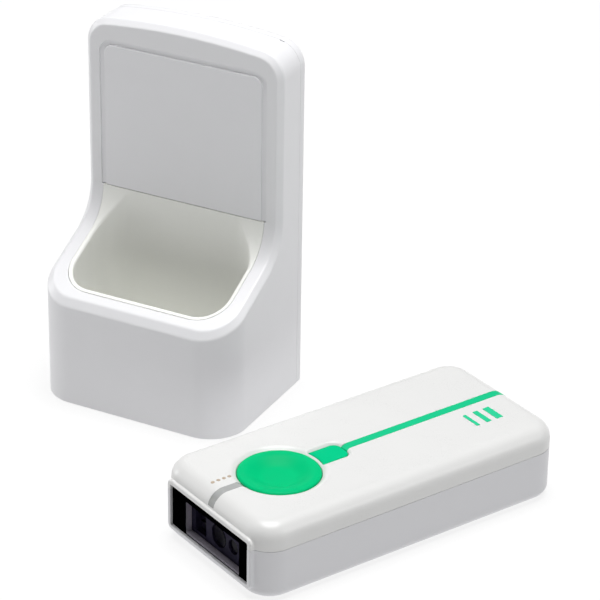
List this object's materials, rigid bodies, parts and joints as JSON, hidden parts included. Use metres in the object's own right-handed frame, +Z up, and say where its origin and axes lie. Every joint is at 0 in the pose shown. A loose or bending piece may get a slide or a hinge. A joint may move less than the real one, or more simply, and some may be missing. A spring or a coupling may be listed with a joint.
{
  "type": "cordless pocket scanner with cradle",
  "caption": "Hand-size cordless code scanner with a round trigger and a front window, lying in front of its open-pocket desk charging cradle.",
  "frame": {"origin": "centre of the cradle's footprint on the table", "axes": "+Z up, the cradle's pocket and rim face -Y, its width runs along X; the scanner lies in front with its window end towards -Y and its length turned 63 degrees from +X"},
  "size_m": [0.1413, 0.1042, 0.101],
  "materials": {
    "cradle_white": "fine satin moulded",
    "cup_white": "fine matt moulded",
    "plate_white": "fine matt moulded",
    "base_grey": "matt moulded",
    "pad_rubber": "matt rubber",
    "screw_steel": "zinc plated",
    "circuit_green": "solder resist",
    "inlet_steel": "bright plated",
    "block_black": "moulded",
    "contact_gold": "gold plated",
    "spring_steel": "drawn wire",
    "scanner_white": "soft satin moulded",
    "scanner_lower": "soft satin moulded",
    "window_clear": "polished",
    "mask_black": "printed",
    "gasket_grey": "foam",
    "trigger_green": "satin",
    "plunger_black": "moulded",
    "switch_metal": "stamped",
    "key_green": "satin",
    "line_green": "satin",
    "pipe_clear": "frosted",
    "led_white": "clear resin",
    "lens_amber": "tinted",
    "print_green": "pad printed",
    "engine_black": "matt",
    "lens_glass": "coated",
    "battery_wrap": "shrink wrap",
    "buzzer_black": "moulded"
  },
  "bodies": {
    "cradle": {"cradle_shell": "cradle_white", "cup_liner": "cup_white", "back_plate": "plate_white", "rear_cover": "cradle_white", "base_plate": "base_grey", "base_pad": "pad_rubber", "base_screws": "screw_steel", "charging_board": "circuit_green", "power_inlet": "inlet_steel", "pin_block": "block_black", "pin_springs": "spring_steel"},
    "scanner": {"top_shell": "scanner_white", "bottom_shell": "scanner_lower", "scan_window": "window_clear", "window_mask": "mask_black", "window_gasket": "gasket_grey", "trigger_switch": "switch_metal", "key_switch": "switch_metal", "accent_line": "line_green", "light_pipe": "pipe_clear", "read_led": "led_white", "status_lenses": "lens_amber", "status_leds": "led_white", "printed_bars": "print_green", "main_board": "circuit_green", "board_screws": "screw_steel", "engine_housing": "engine_black", "engine_lens": "lens_glass", "aimer_lens": "lens_glass", "light_leds": "lens_glass", "engine_board": "circuit_green", "battery": "battery_wrap", "buzzer": "buzzer_black", "charge_contacts": "contact_gold", "contact_board": "circuit_green", "case_screws": "screw_steel", "grip_pads": "pad_rubber"},
    "trigger": {"trigger_button": "trigger_green", "trigger_plunger": "plunger_black"},
    "key": {"function_key": "key_green", "key_plunger": "plunger_black"},
    "pins": {"contact_pins": "contact_gold"}
  },
  "joints": [
    {"name": "scanner_lift", "type": "slide", "parent": "cradle", "child": "scanner", "axis": [0, 0, 1], "range_m": [0, 0.11]},
    {"name": "trigger_press", "type": "slide", "parent": "scanner", "child": "trigger", "axis": [0, 0, -1], "range_m": [0, 0.0005], "stiffness_N_per_m": 1500, "springref_m": -0.0006},
    {"name": "key_press", "type": "slide", "parent": "scanner", "child": "key", "axis": [0, 0, -1], "range_m": [0, 0.0004], "stiffness_N_per_m": 1500, "springref_m": -0.0005},
    {"name": "pin_press", "type": "slide", "parent": "cradle", "child": "pins", "axis": [0, 0, -1], "range_m": [0, 0.0006], "stiffness_N_per_m": 1200, "springref_m": -0.0005, "deforming": ["pin_springs"]}
  ]
}
